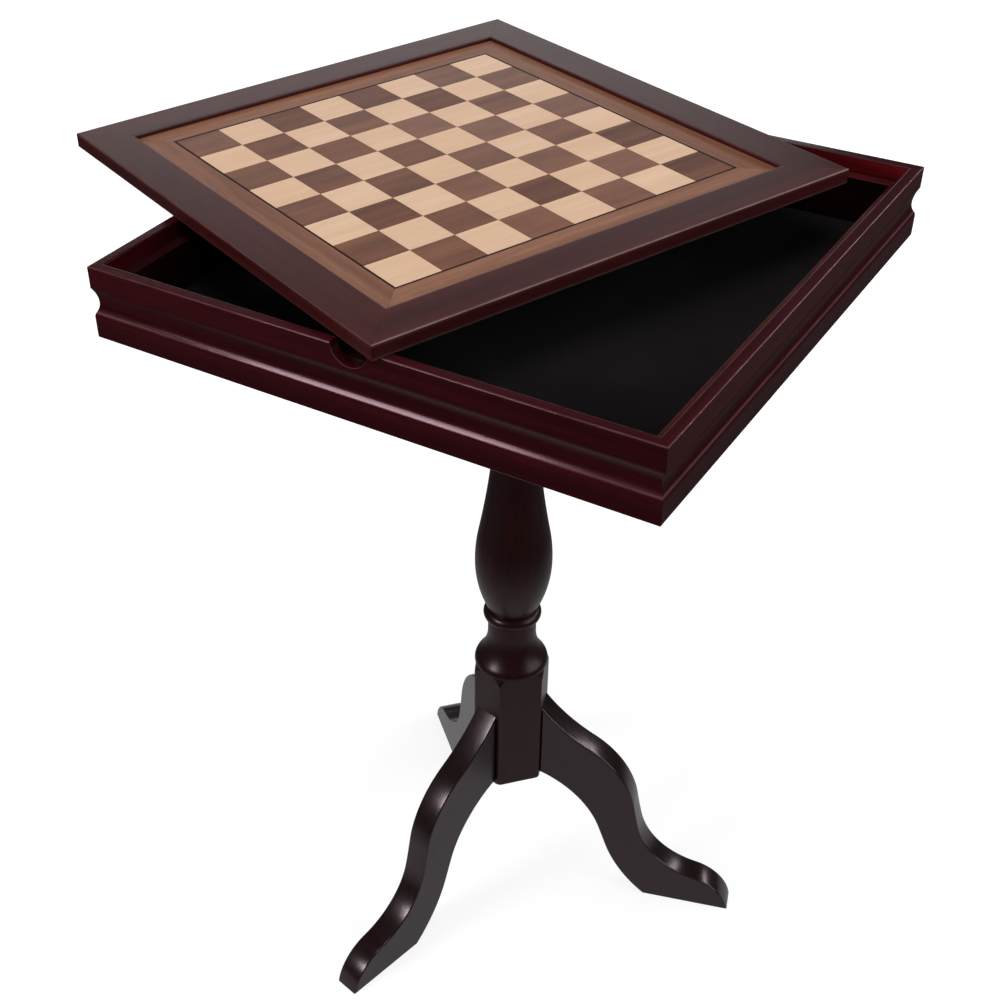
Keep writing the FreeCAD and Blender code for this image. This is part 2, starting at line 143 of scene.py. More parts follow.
# Painted light on the tray's inner faces and ledge tops, and a painted highlight on the board frame's
# arrises: how much each side gets, from 0 to 1, and how far from an arris the pale lines reach. On the
# tray these lines are wear and a painted highlight, on the board a painted highlight, on the block wear.
TRAY_PAINTED_LIGHT_INSIDE = {"front": 0.2, "right": 1.0, "back": 1.0, "left": 0.15}
BOARD_PAINTED_HIGHLIGHT = {"front": 0.3, "right": 1.0, "back": 0.3, "left": 0.3}
TRAY_WEAR_AND_HIGHLIGHT_REACH = 0.8
BOARD_HIGHLIGHT_REACH = 0.7
BLOCK_WEAR_REACH = 1.2
FOOT_WEAR = 0.8
WEAR_AND_HIGHLIGHT_STEP = 0.4

# Fineness of the meshes, and the small gaps that keep faces and points apart
SEAM = 0.06
MITRE_SET_BACK = 1
CLOSING_GAP = 1
TOUCH = 0.01
POINT_GAP = 2.0
ARC_GAP = math.radians(6)
SHARP_ANGLE = math.radians(28)
COLUMN_SHARP_ANGLE = math.radians(16)
LEAST_SQUARED_MEAN = 0.3
PLAIN_ROWS = np.linspace(-1, 1, 9)
NOTCH_POINTS = 33
FELT_POINTS = 61
COLUMN_SEGMENTS = 240
BLOCK_ROWS = 24
SHOULDER_ROWS = 9
SHOULDER_START = 0.06
ROUND_POINTS = 7

# Each piece is cut at random, but alike in every run, from timber that reaches this far each way
TIMBER_REACH = 4000
TIMBER_SEED = 64
shuffle = np.random.default_rng(TIMBER_SEED)


def arc_heading(start, middle, end):
    """Heading at the start of the arc through three points: square to the spoke from the circle's centre."""
    a, b, onward = middle - start, end - start, end - middle
    twice = 2 * (a[0] * b[1] - a[1] * b[0])
    centre = np.array([b[1] * (a @ a) - a[1] * (b @ b), a[0] * (b @ b) - b[0] * (a @ a)]) / twice
    side = np.sign(a[0] * onward[1] - a[1] * onward[0])
    return side * np.array([centre[1], -centre[0]]) / np.linalg.norm(centre)


def turned(points, angle):
    """Plane points turned about the origin: (x cos a - y sin a, x sin a + y cos a)."""
    x, y = points[..., 0], points[..., 1]
    return np.stack([x * np.cos(angle) - y * np.sin(angle), x * np.sin(angle) + y * np.cos(angle)], axis=-1)


def traced(start, *steps):
    """A line of points through runs and arcs. A run is start + t * chord. A bend leaves along the last
    heading: its points are the start turned about the centre by t times the sweep, where the sweep is twice
    the angle from heading to chord. An over is a bend whose heading comes from a middle point."""
    here = np.array(start, float)
    heading = None
    lines = [here[None]]
    for kind, *spots in steps:
        end = np.array(spots[-1], float)
        chord = end - here
        length = np.linalg.norm(chord)
        if kind == "run":
            heading = chord / length
            share = np.linspace(0, 1, math.ceil(length / POINT_GAP) + 1)[1:, None]
            lines.append(here + share * chord)
        else:
            if kind == "over":
                heading = arc_heading(here, np.array(spots[0], float), end)
            normal = np.array([-heading[1], heading[0]])
            sweep = 2 * math.atan2(chord @ normal, chord @ heading)
            centre = here + normal * length**2 / (2 * (chord @ normal))
            count = math.ceil(max(abs(sweep) / ARC_GAP, length / POINT_GAP))
            lines.append(centre + turned(here - centre, sweep * np.linspace(0, 1, count + 1)[1:]))
            heading = turned(heading, sweep)
        here = end
    return np.concatenate(lines)


def nearness(points, corners, reach):
    """How close each point is to the nearest corner: exp(-(distance / reach) squared)."""
    apart = points[..., None, :] - np.array(corners, float)
    return np.exp(-(((apart**2).sum(-1)).min(-1)) / reach**2)


def set_down(grid, angle, centre=(0, 0)):
    """The grid turned about the vertical by an angle in degrees and moved to a centre."""
    flat = turned(grid[..., :2], math.radians(angle)) + np.array(centre)
    return np.concatenate([flat, grid[..., 2:]], axis=-1)


def mitred(section, rows):
    """The section (y, z) carried along x. At row 1 and -1 it is cut on the square's diagonals, x = |y|, and
    between them it stands at x = row times the inner half of the square."""
    y, z = section[:, 0], section[:, 1]
    reach = np.abs(y) - SEAM
    inner = reach.min() - MITRE_SET_BACK
    rows = rows[:, None]
    x = np.where(np.abs(rows) < 1, rows * inner, rows * reach)
    return np.stack([x, y + 0 * x, z + 0 * x], axis=-1)


def plank(grid):
    """Grain coordinates of a piece cut from its own stretch of timber: its own x, y, z, moved at random."""
    return grid + shuffle.uniform(-TIMBER_REACH, TIMBER_REACH, 3)


def skin(name, grid, grain, wear, finish, body, node, sharp=SHARP_ANGLE):
    """A closed piece from a grid (copies, rows, around): faces join neighbours along the rows and round
    them, and the first and last row of each copy are filled by one flat face. The signed volume, a sixth of
    the sum of v0 . (v1 x v2), says whether the faces point outwards."""
    grid = grid.reshape((-1,) + grid.shape[-3:])
    copies, rows, around = grid.shape[:3]
    points = grid.reshape(-1, 3) * MM
    spot = np.arange(len(points)).reshape(copies, rows, around)
    after = np.roll(spot, -1, axis=2)
    quads = np.stack([spot[:, :-1], after[:, :-1], after[:, 1:], spot[:, 1:]], axis=-1).reshape(-1, 4)
    ends = np.concatenate([spot[:, 0, ::-1], spot[:, -1]])
    fans = np.stack([np.broadcast_to(ends[:, :1], ends[:, 2:].shape), ends[:, 1:-1], ends[:, 2:]], axis=-1)
    thirds = np.concatenate([quads[:, :3], quads[:, [0, 2, 3]], fans.reshape(-1, 3)])
    corner = points[thirds] - points.mean(axis=0)
    if (corner[:, 0] * np.cross(corner[:, 1], corner[:, 2])).sum() < 0:
        quads, ends = quads[:, ::-1], ends[:, ::-1]
    mesh = bpy.data.meshes.new(name)
    mesh.from_pydata(points.tolist(), [], quads.tolist() + ends.tolist())
    mesh.attributes.new("grain", "FLOAT_VECTOR", "POINT").data.foreach_set("vector", grain.ravel() * MM)
    # The points' values hold, piece by piece, wear, a square's own tone, a painted highlight and painted
    # light.
    worn_and_lit = np.broadcast_to(wear, grid.shape[:3]).astype(np.float32)
    mesh.attributes.new("wear", "FLOAT", "POINT").data.foreach_set("value", worn_and_lit.ravel())
    mesh.shade_smooth()
    mesh.set_sharp_from_angle(angle=sharp)
    mesh.materials.append(finish)
    piece = bpy.data.objects.new(name, mesh)
    bpy.context.scene.collection.objects.link(piece)
    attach(piece, body)
    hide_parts(node)
    return piece


# Materials

# Marks in the timber: how many there are to the metre, along the grain and across it
SWAY_SCALE = (3, 18, 18)
STREAK_SCALE = (2.2, 95, 95)
BAND_SCALE = (0.9, 34, 34)
FIBRE_SCALE = (22, 900, 900)
PORE_SCALE = (55, 1900, 1900)
PATCH_SCALE = (38, 60, 60)
PEEL_SCALE = (210, 260, 260)

# How strongly the marks show
SWAY_WIDTH = 0.012
STREAK_SHARE = 0.62
FIBRE_DARK = 0.2
FIBRE_LIGHT = 0.12
FIBRE_ROUGHNESS = 0.16
PORE_SHARE = 0.35
PORE_DARKNESS = 0.45
WORN_AND_LIT_SHARE = 0.5
WORN_ROUGHNESS = -0.1
LIT_INSIDE_SHARE = 0.4
PORE_DEPTH = -0.6
PEEL_DEPTH = 0.5

# Felt's lighter fibres, as a gain and a lift on its colour, the height of its hairs, and clouding on metal
FELT_GAIN = 2.1
FELT_LIFT = 6
FELT_HAIR_DEPTH = 0.6
METAL_CLOUDING = 0.2

# Sockets of the node that mixes two colours
FIRST_COLOUR = 6
SECOND_COLOUR = 7
MIXED_COLOUR = 2


def tint(red, green, blue):
    """A colour given as it shows on screen, turned by the screen's own curve into linear values."""
    shown = np.array([red, green, blue]) / 255
    linear = np.where(shown <= 0.04045, shown / 12.92, ((shown + 0.055) / 1.055) ** 2.4)
    return (*linear.tolist(), 1.0)


def grey(level):
    """A colour with all three linear values at one level."""
    return (level, level, level, 1)


def connect(tree, socket, value):
    """The socket is joined to an output, or set to a plain value."""
    if isinstance(value, bpy.types.NodeSocket):
        tree.links.new(value, socket)
    else:
        socket.default_value = value


def add(tree, kind, *values, settings=(), **inputs):
    """A node with its settings, and with its inputs given by order or by name."""
    made = tree.nodes.new(kind)
    for key, value in dict(settings).items():
        setattr(made, key, value)
    for index, value in enumerate(values):
        connect(tree, made.inputs[index], value)
    for key, value in inputs.items():
        connect(tree, made.inputs[key.replace("_", " ")], value)
    return made


def calculate(tree, operation, *values):
    """One sum on two or three values."""
    return add(tree, "ShaderNodeMath", *values, settings={"operation": operation}).outputs[0]


def blend(tree, factor, first, second, mode="MIX"):
    """Two colours mixed, or the first multiplied by the second. At a factor of 0 the first is left."""
    made = add(tree, "ShaderNodeMix", settings={"data_type": "RGBA", "blend_type": mode})
    connect(tree, made.inputs[0], factor)
    connect(tree, made.inputs[FIRST_COLOUR], first)
    connect(tree, made.inputs[SECOND_COLOUR], second)
    return made.outputs[MIXED_COLOUR]


def ramp(tree, factor, *stops):
    """A colour that goes evenly from stop to stop, each a (place, colour), as the factor rises."""
    made = add(tree, "ShaderNodeValToRGB", factor)
    elements = made.color_ramp.elements
    while len(elements) < len(stops):
        elements.new(0.5)
    for element, (place, colour) in zip(elements, stops):
        element.position = place
        element.color = colour
    return made.outputs[0]


def noise(tree, place, scale, detail=3, roughness=0.55):
    """Cloudy marks between 0 and 1, as many to the metre as the scale says in each direction."""
    stretched = add(tree, "ShaderNodeMapping", place, Scale=scale).outputs[0]
    made = add(tree, "ShaderNodeTexNoise", Vector=stretched, Scale=1, Detail=detail, Roughness=roughness)
    return made.outputs[0]


def object_place(tree):
    """The piece's own coordinates in metres."""
    return add(tree, "ShaderNodeTexCoord").outputs["Object"]


def attribute(tree, name, output):
    """What a piece's points hold under a name."""
    return add(tree, "ShaderNodeAttribute", settings={"attribute_name": name}).outputs[output]


def bumped(tree, strength, distance, height):
    """The surface's normal, tilted as relief of the height times the distance in metres would tilt it."""
    return add(tree, "ShaderNodeBump", Strength=strength, Distance=distance, Height=height).outputs[0]


def new_finish(name):
    """An empty material and its node tree."""
    finish = bpy.data.materials.new(name)
    finish.use_nodes = True
    finish.node_tree.nodes.clear()
    return finish, finish.node_tree


def give_shader(tree, **inputs):
    """The shader with its inputs, joined to the material's surface."""
    shader = add(tree, "ShaderNodeBsdfPrincipled", **inputs)
    add(tree, "ShaderNodeOutputMaterial", shader.outputs[0])


def wood(
    name, dark, middle, light, roughness, shine, cast=(255, 255, 255), grain_depth=0.25, figure=1.0,
    contrast=1.0, worn_and_lit=None, lit_inside=None, own_place=True,
):
    """Timber along the piece's own grain: broad streaks and growth bands between three tones, fine fibres,
    dark pores and a lacquer with a slight unevenness. A value above zero on the points takes the colour to
    the
    pale one: wear at rubbed arrises, also a painted highlight on the tray's and the board's arrises, painted
    light on the ledge tops, or on a square its own tone. A value below zero takes it to a brighter red,
    painted light on the tray's inner faces."""
    finish, tree = new_finish(name)
    place = attribute(tree, "grain", "Vector") if own_place else object_place(tree)
    sway = calculate(tree, "SUBTRACT", noise(tree, place, SWAY_SCALE, detail=2), 0.5)
    moved = calculate(tree, "MULTIPLY", sway, SWAY_WIDTH * figure)
    shift = add(tree, "ShaderNodeCombineXYZ", 0.0, moved, moved).outputs[0]
    line = add(tree, "ShaderNodeVectorMath", place, shift, settings={"operation": "ADD"}).outputs[0]
    streaks = noise(tree, line, STREAK_SCALE, detail=5, roughness=0.6)
    bands = noise(tree, line, BAND_SCALE, detail=2, roughness=0.5)
    fibres = noise(tree, line, FIBRE_SCALE, detail=3, roughness=0.6)
    pores = noise(tree, line, PORE_SCALE, detail=1, roughness=0.5)
    pits = ramp(tree, pores, (0.60, grey(0)), (0.70, grey(1)))
    banded = calculate(tree, "MULTIPLY", bands, 1 - STREAK_SHARE)
    figured = calculate(tree, "MULTIPLY_ADD", streaks, STREAK_SHARE, banded)
    colour = ramp(tree, figured, (0.36, tint(*dark)), (0.50, tint(*middle)), (0.64, tint(*light)))
    fibre_dark, fibre_light = grey(1 - FIBRE_DARK * contrast), grey(1 + FIBRE_LIGHT * contrast)
    fibre_lines = ramp(tree, fibres, (0.30, fibre_dark), (0.70, fibre_light))
    colour = blend(tree, 1.0, colour, fibre_lines, "MULTIPLY")
    pore_colour = tint(*[PORE_DARKNESS * part for part in dark])
    colour = blend(tree, calculate(tree, "MULTIPLY", pits, PORE_SHARE * contrast), colour, pore_colour)
    smooth = roughness - FIBRE_ROUGHNESS / 2
    rough = calculate(tree, "MULTIPLY_ADD", fibres, FIBRE_ROUGHNESS, smooth)
    # Wear and painted light share one channel: wear on the column, legs and tray arrises, a square's own
    # tone, a painted highlight on the tray's and the board's arrises, and painted light on the ledge tops.
    if worn_and_lit:
        wear = attribute(tree, "wear", "Fac")
        patch = ramp(tree, noise(tree, place, PATCH_SCALE), (0.3, grey(0.5)), (0.7, grey(1)))
        lightening = calculate(tree, "MULTIPLY", calculate(tree, "MULTIPLY", wear, patch), WORN_AND_LIT_SHARE)
        colour = blend(tree, lightening, colour, tint(*worn_and_lit))
        rough = calculate(tree, "MULTIPLY_ADD", wear, WORN_ROUGHNESS, rough)
        if lit_inside:
            # Painted light: below zero the colour goes to a brighter red standing for light on the tray's
            # inner faces.
            colour = blend(tree, calculate(tree, "MULTIPLY", wear, -LIT_INSIDE_SHARE), colour, tint(*lit_inside))
    dips = calculate(tree, "MULTIPLY_ADD", pits, PORE_DEPTH, fibres)
    peel = noise(tree, place, PEEL_SCALE, detail=2)
    height = calculate(tree, "MULTIPLY_ADD", peel, PEEL_DEPTH, dips)
    normal = bumped(tree, strength=grain_depth, distance=0.0003, height=height)
    give_shader(
        tree, Base_Color=colour, Roughness=rough, Normal=normal, Specular_IOR_Level=shine,
        Specular_Tint=tint(*cast),
    )
    return finish


def felt(name, colour):
    """Pressed wool: a fine mat of crossing fibres, cloudy nap and a soft sheen."""
    finish, tree = new_finish(name)
    place = object_place(tree)
    mat = noise(tree, place, scale=(1500, 1500, 1500), detail=3, roughness=0.7)
    hairs = noise(tree, place, scale=(260, 1400, 400), detail=2, roughness=0.6)
    nap = noise(tree, place, scale=(14, 14, 14), detail=3, roughness=0.5)
    pale = [FELT_GAIN * part + FELT_LIFT for part in colour]
    shade = blend(tree, ramp(tree, mat, (0.35, grey(0)), (0.75, grey(1))), tint(*colour), tint(*pale))
    shade = blend(tree, 1.0, shade, ramp(tree, nap, (0.3, grey(0.75)), (0.7, grey(1.2))), "MULTIPLY")
    height = calculate(tree, "MULTIPLY_ADD", hairs, FELT_HAIR_DEPTH, mat)
    normal = bumped(tree, strength=0.5, distance=0.0004, height=height)
    give_shader(
        tree, Base_Color=shade, Roughness=0.95, Normal=normal, Specular_IOR_Level=0.05,
        Sheen_Weight=0.03, Sheen_Roughness=0.5,
    )
    return finish


def metal(name, colour, roughness):
    """Turned metal: fine tool marks round the axis and a slightly clouded plating."""
    finish, tree = new_finish(name)
    place = object_place(tree)
    marks = noise(tree, place, scale=(30, 30, 2600), detail=2)
    cloud = noise(tree, place, scale=(120, 120, 120))
    clouded = ramp(tree, cloud, (0.3, grey(0.8)), (0.7, grey(1.1)))
    shade = blend(tree, 1.0, tint(*colour), clouded, "MULTIPLY")
    uneven = calculate(tree, "MULTIPLY_ADD", cloud, METAL_CLOUDING, roughness - METAL_CLOUDING / 2)
    normal = bumped(tree, strength=0.3, distance=0.0002, height=marks)
    give_shader(tree, Base_Color=shade, Metallic=1.0, Roughness=uneven, Normal=normal)
    return finish


# The tray's pale pink colour makes lines on the arrises that are partly wear and partly a painted highlight;
# its bright red colour is painted light on the inner faces above the ledges.
tray_lacquer = wood(
    "tray_red_mahogany", (37, 6, 10), (45, 8, 13), (54, 11, 17), roughness=0.18, shine=0.18,
    cast=(255, 212, 226), grain_depth=0.06, worn_and_lit=(132, 88, 92), lit_inside=(150, 28, 34),
)
column_lacquer = wood(
    "column_dark_mahogany", (24, 5, 6), (31, 7, 8), (39, 10, 11), roughness=0.32, shine=0.33,
    cast=(255, 232, 236), grain_depth=0.06, worn_and_lit=(54, 24, 24),
)
leg_lacquer = wood(
    "leg_dark_mahogany", (19, 7, 9), (24, 9, 11), (30, 12, 14), roughness=0.22, shine=0.58,
    cast=(255, 232, 240), grain_depth=0.04, worn_and_lit=(46, 32, 34),
)
# The frame's very pale colour paints a highlight along its arrises.
board_lacquer = wood(
    "board_frame_mahogany", (45, 13, 14), (55, 17, 18), (66, 22, 22), roughness=0.32, shine=0.17,
    cast=(255, 236, 242), grain_depth=0.12, worn_and_lit=(210, 180, 176),
)
# A darker copy of the tray's lacquer that paints shade inside the tray; its paler red on the ledge tops is
# painted light.
ledge_shaded_lacquer = wood(
    "ledge_painted_shade", (22, 5, 7), (28, 7, 9), (35, 9, 11), roughness=0.35, shine=0.1,
    grain_depth=0.1, worn_and_lit=(96, 30, 32),
)
border_walnut = wood(
    "border_walnut", (101, 61, 43), (123, 80, 59), (144, 99, 76), roughness=0.42, shine=0.2, figure=1.4,
)
square_walnut = wood(
    "square_walnut", (73, 38, 24), (97, 56, 37), (115, 70, 48), roughness=0.42, shine=0.2, figure=1.4,
    worn_and_lit=(136, 88, 66),
)
square_maple = wood(
    "square_maple", (202, 167, 137), (209, 174, 145), (216, 182, 154), roughness=0.42, shine=0.2,
    figure=0.8, contrast=0.25, worn_and_lit=(196, 154, 120),
)
string_stain = wood("string_black", (18, 10, 9), (26, 15, 13), (34, 21, 18), roughness=0.5, shine=0.08)
plywood = wood(
    "panel_plywood", (120, 88, 58), (150, 114, 78), (172, 136, 98), roughness=0.6, shine=0.3,
    own_place=False,
)
block_stain = wood(
    "block_dark_stain", (24, 12, 11), (34, 18, 16), (46, 26, 22), roughness=0.5, shine=0.25,
    own_place=False,
)
backing_veneer = wood(
    "backing_veneer", (48, 22, 20), (64, 32, 28), (78, 42, 36), roughness=0.5, shine=0.25,
    own_place=False,
)
lining_felt = felt("lining_black_felt", (9, 7, 8))
insert_brass = metal("insert_brass", (196, 158, 88), roughness=0.35)
bolt_zinc = metal("bolt_zinc", (168, 170, 174), roughness=0.38)


# Tray


def rail_section():
    """The moulding in (y, z): flat, rounded lip, cove, flat, eased rim, and the groove for the panel."""
    outer, inner = -TRAY_HALF, -OPENING_HALF
    groove = inner - PANEL_GROOVE
    return traced(
        (inner, TRAY_UNDER),
        ("run", (outer + EASE, TRAY_UNDER)),
        ("bend", (outer, TRAY_UNDER + EASE)),
        ("run", (outer, LOWER_BAND_TOP)),
        ("bend", (outer + LIP_DEPTH, LIP_TOP)),
        ("bend", (outer + COVE_DEPTH, COVE_LOW)),
        ("bend", (outer, COVE_TOP)),
        ("run", (outer, RIM - EASE - WEAR_AND_HIGHLIGHT_STEP)),
        ("run", (outer, RIM - EASE)),
        ("bend", (outer + EASE, RIM)),
        ("run", (outer + EASE + WEAR_AND_HIGHLIGHT_STEP, RIM)),
        ("run", (inner - EASE, RIM)),
        ("bend", (inner, RIM - EASE)),
        ("run", (inner, PANEL_TOP)),
        ("run", (groove, PANEL_TOP)),
        ("run", (groove, PANEL_UNDER)),
        ("run", (inner, PANEL_UNDER)),
        ("run", (inner, TRAY_UNDER + CLOSING_GAP)),
    )


def ledge_section():
    """The ledge in (y, z): a plain strip whose upper inner arris is rounded."""
    outer, inner = -OPENING_HALF, -LEDGE_HALF
    return traced(
        (outer + SEAM, PANEL_TOP),
        ("run", (outer + SEAM, LEDGE_TOP)),
        ("run", (inner - LEDGE_EASE, LEDGE_TOP)),
        ("bend", (inner, LEDGE_TOP - LEDGE_EASE)),
        ("run", (inner, PANEL_TOP)),
        ("run", (outer + CLOSING_GAP, PANEL_TOP)),
    )


def notch_rows():
    """Rows of the front rail: quarters of its inner half, and between them the notch's radius times the
    cosine of even angles."""
    inner = OPENING_HALF - SEAM - MITRE_SET_BACK
    bow = NOTCH_RADIUS * np.cos(np.linspace(np.pi, 0, NOTCH_POINTS))
    quarters = np.array([0.25, 0.5, 0.75, 1])
    return np.concatenate([-quarters[::-1], bow / inner, quarters])


def notched(grid):
    """The finger notch: above the cove, heights are squeezed so that the rim follows the half circle
    rim - sqrt(radius squared - x squared)."""
    x, z = grid[..., 0], grid[..., 2]
    dip = np.sqrt(np.clip(NOTCH_RADIUS**2 - x**2, 0, None))
    share = np.clip((z - COVE_TOP) / (RIM - COVE_TOP), 0, 1)
    return np.concatenate([grid[..., :2], (z - dip * share)[..., None]], axis=-1)


def build_tray():
    """Mitred rails and ledges. The rails get pale lines by their nearness to the rim's and the lip's outer
    arris, partly wear and partly a painted highlight, and inside above the ledges, by values below zero, a
    brighter red that is painted light, set side by side. The ledges get painted light on top."""
    section = rail_section()
    # Pale lines at the rim's and the lip's outer arris: partly wear, partly a painted highlight.
    wear = nearness(section, [(-TRAY_HALF, RIM), (LIP_DEPTH - TRAY_HALF, LIP_TOP)], TRAY_WEAR_AND_HIGHLIGHT_REACH)
    inside = (section[:, 0] > -OPENING_HALF - TOUCH) & (section[:, 1] > LEDGE_TOP)
    for side, angle in SIDES.items():
        grid = mitred(section, notch_rows() if side == "front" else PLAIN_ROWS)
        grain = plank(grid)
        if side == "front":
            grid = notched(grid)
        # Inside above the ledges, values below zero paint light as a brighter red, more on the lit sides.
        side_wear_and_light = np.where(inside, -TRAY_PAINTED_LIGHT_INSIDE[side], wear)
        skin(
            f"moulded_rail_{side}", set_down(grid, angle), grain, side_wear_and_light, tray_lacquer,
            "table", f"tray_{side}_rail",
        )
    ledge = ledge_section()
    # Painted light on the ledge tops, strongest on the back and right sides and faint on the left and front.
    ledge_top = (ledge[:, 1] > LEDGE_TOP - LEDGE_EASE / 2).astype(float)
    for side, angle in SIDES.items():
        grid = mitred(ledge, PLAIN_ROWS)
        skin(
            f"ledge_strip_{side}", set_down(grid, angle), plank(grid), TRAY_PAINTED_LIGHT_INSIDE[side] * ledge_top,
            ledge_shaded_lacquer, "table", f"ledge_{side}",
        )


def build_felt():
    """The felt in (x, y): a flat underside and a top that rises and falls by a product of slow waves, with a
    ripple along the diagonal."""
    over = np.linspace(-FELT_HALF, FELT_HALF, FELT_POINTS)
    across = np.concatenate([over, over[::-1]])
    top = np.concatenate([np.ones(FELT_POINTS), np.zeros(FELT_POINTS)])
    x = over[:, None]
    along_length, across_length = FELT_SWELL_LENGTHS
    swell = FELT_SWELL * np.sin(x / along_length + FELT_SWELL_START) * np.cos(across / across_length)
    ripple = FELT_RIPPLE * np.sin((x + across) / FELT_RIPPLE_LENGTH)
    z = PANEL_TOP + top * (FELT_THICKNESS - FELT_SWELL - FELT_RIPPLE + swell + ripple)
    grid = np.stack([x + 0 * z, across + 0 * z, z], axis=-1)
    sheet = skin("felt_lining", grid, grid, 0, lining_felt, "table", "tray_lining")


# Pedestal


def turning():
    """The turned line (radius, height) from the foot block's corners over bell, bead, vase and neck."""
    return traced(
        (CORNER, TONGUE_FOOT - POINT_GAP),
        ("run", (CORNER, TONGUE_FOOT)),
        ("bend", (BELL_RADIUS, BELL_FOOT)),
        ("run", (BELL_RADIUS, FLATS_TOP)),
        ("bend", BELL_SHOULDER),
        ("bend", (STEM_RADIUS, STEM_FOOT)),
        ("run", (STEM_RADIUS, BEAD_FOOT)),
        ("over", BEAD_MIDDLE, (STEM_RADIUS, BEAD_TOP)),
        ("over", VASE_LOWER, VASE_WIDEST),
        ("bend", VASE_UPPER),
        ("bend", NECK_WAIST),
        ("bend", NECK_TOP),
        ("run", (COLLAR_RADIUS, NECK_TOP[1])),
        ("run", (COLLAR_RADIUS, COLUMN_TOP)),
    )


def build_column():
    """Round the axis by an angle and up by a height. On the block the radius is that of the hexagon,
    flat / cos(angle from the flat's middle), as far as the turned line leaves it, and above it is the turned
    line's. The wear is exp(-(distance from the block's arris / reach) squared)."""
    around = np.linspace(0, 2 * np.pi, COLUMN_SEGMENTS, endpoint=False)
    third = 2 * np.pi / 3
    from_leg = (around + third / 2) % third - third / 2
    from_free = around % third - third / 2
    hexagon = np.minimum(LEG_FLAT / np.cos(from_leg), FREE_FLAT / np.cos(from_free))
    corner_angle = np.arccos(LEG_FLAT / hexagon.max())
    hexagon = np.minimum(hexagon, CORNER)
    line = turning()
    foot = line[:, 1] <= SHOULDER
    radii, levels = line[foot, 0], line[foot, 1]
    run_out = np.minimum(np.interp(-hexagon, -radii, levels), FLATS_TOP)
    start = FOOT_UNDER + FOOT_EASE
    up = np.linspace(0, 1, BLOCK_ROWS)[:, None]
    block_z = start + up * (run_out - start)
    block_r = hexagon + 0 * block_z
    onward = np.linspace(SHOULDER_START, 1, SHOULDER_ROWS)[:, None]
    shoulder_z = run_out + onward * (SHOULDER - run_out)
    shoulder_r = np.interp(shoulder_z, levels, radii)
    turned_z = line[~foot, 1][:, None] + 0 * hexagon
    turned_r = line[~foot, 0][:, None] + 0 * hexagon
    heel_r = np.minimum(hexagon - FOOT_DRAWN_IN, CORNER - FOOT_EASE)[None]
    heel_z = FOOT_UNDER + 0 * heel_r
    r = np.concatenate([heel_r, block_r, shoulder_r, turned_r])
    z = np.concatenate([heel_z, block_z, shoulder_z, turned_z])
    arris = np.exp(-(((corner_angle - np.abs(from_leg)) * LEG_FLAT / BLOCK_WEAR_REACH) ** 2))
    wear = np.concatenate([heel_r * 0 + FOOT_WEAR, block_r * 0 + arris, shoulder_r * 0, turned_r * 0])
    local = np.stack([r * np.cos(around - np.pi / 2), r * np.sin(around - np.pi / 2), z], axis=-1)
    grain = plank(local[..., [2, 0, 1]])
    skin(
        "turned_column", set_down(local, BASE_ANGLE), grain, wear, column_lacquer,
        "table", "column", sharp=COLUMN_SHARP_ANGLE,
    )


def leg_line():
    """The leg's outline (reach, height): over back, knee and instep to the toe, under the heel and arch.
    Points next to a corner are left out, so that the line can be drawn in there."""
    line = traced(
        LEG_TOP,
        ("over", LEG_BACK, LEG_KNEE),
        ("bend", LEG_SHIN),
        ("bend", LEG_ANKLE),
        ("bend", LEG_INSTEP),
        ("bend", LEG_TOE),
        ("run", LEG_HEEL),
        ("over", LEG_HEEL_RISE, LEG_ARCH_SIDE),
        ("bend", LEG_ARCH),
        ("bend", LEG_UNDER),
        ("run", (LEG_FLAT, LEG_TOP[1] - POINT_GAP)),
    )
    apart = np.linalg.norm(line[:, None] - np.array([LEG_TOP, LEG_TOE, LEG_HEEL, LEG_UNDER]), axis=-1)
    clear = (apart > np.array(LEG_CORNER_EASES) * LEG_EASE).all(axis=-1)
    return line[clear | (apart.min(axis=-1) < TOUCH)]


def drawn_in(line, depths):
    """A closed line drawn in by several depths: each point moves along the mean of its two edges' normals,
    by depth / cos(half the turn), with a limit where the turn is sharp."""
    edge = np.roll(line, -1, axis=0) - line
    edge = edge / np.linalg.norm(edge, axis=1, keepdims=True)
    normal = np.stack([edge[:, 1], -edge[:, 0]], axis=1)
    area = (line[:, 0] * np.roll(line[:, 1], -1) - np.roll(line[:, 0], -1) * line[:, 1]).sum()
    normal = normal * -np.sign(area)
    mean = normal + np.roll(normal, 1, axis=0)
    mean = 2 * mean / np.clip((mean**2).sum(axis=1, keepdims=True), LEAST_SQUARED_MEAN, None)
    return line + np.array(depths)[:, None, None] * mean


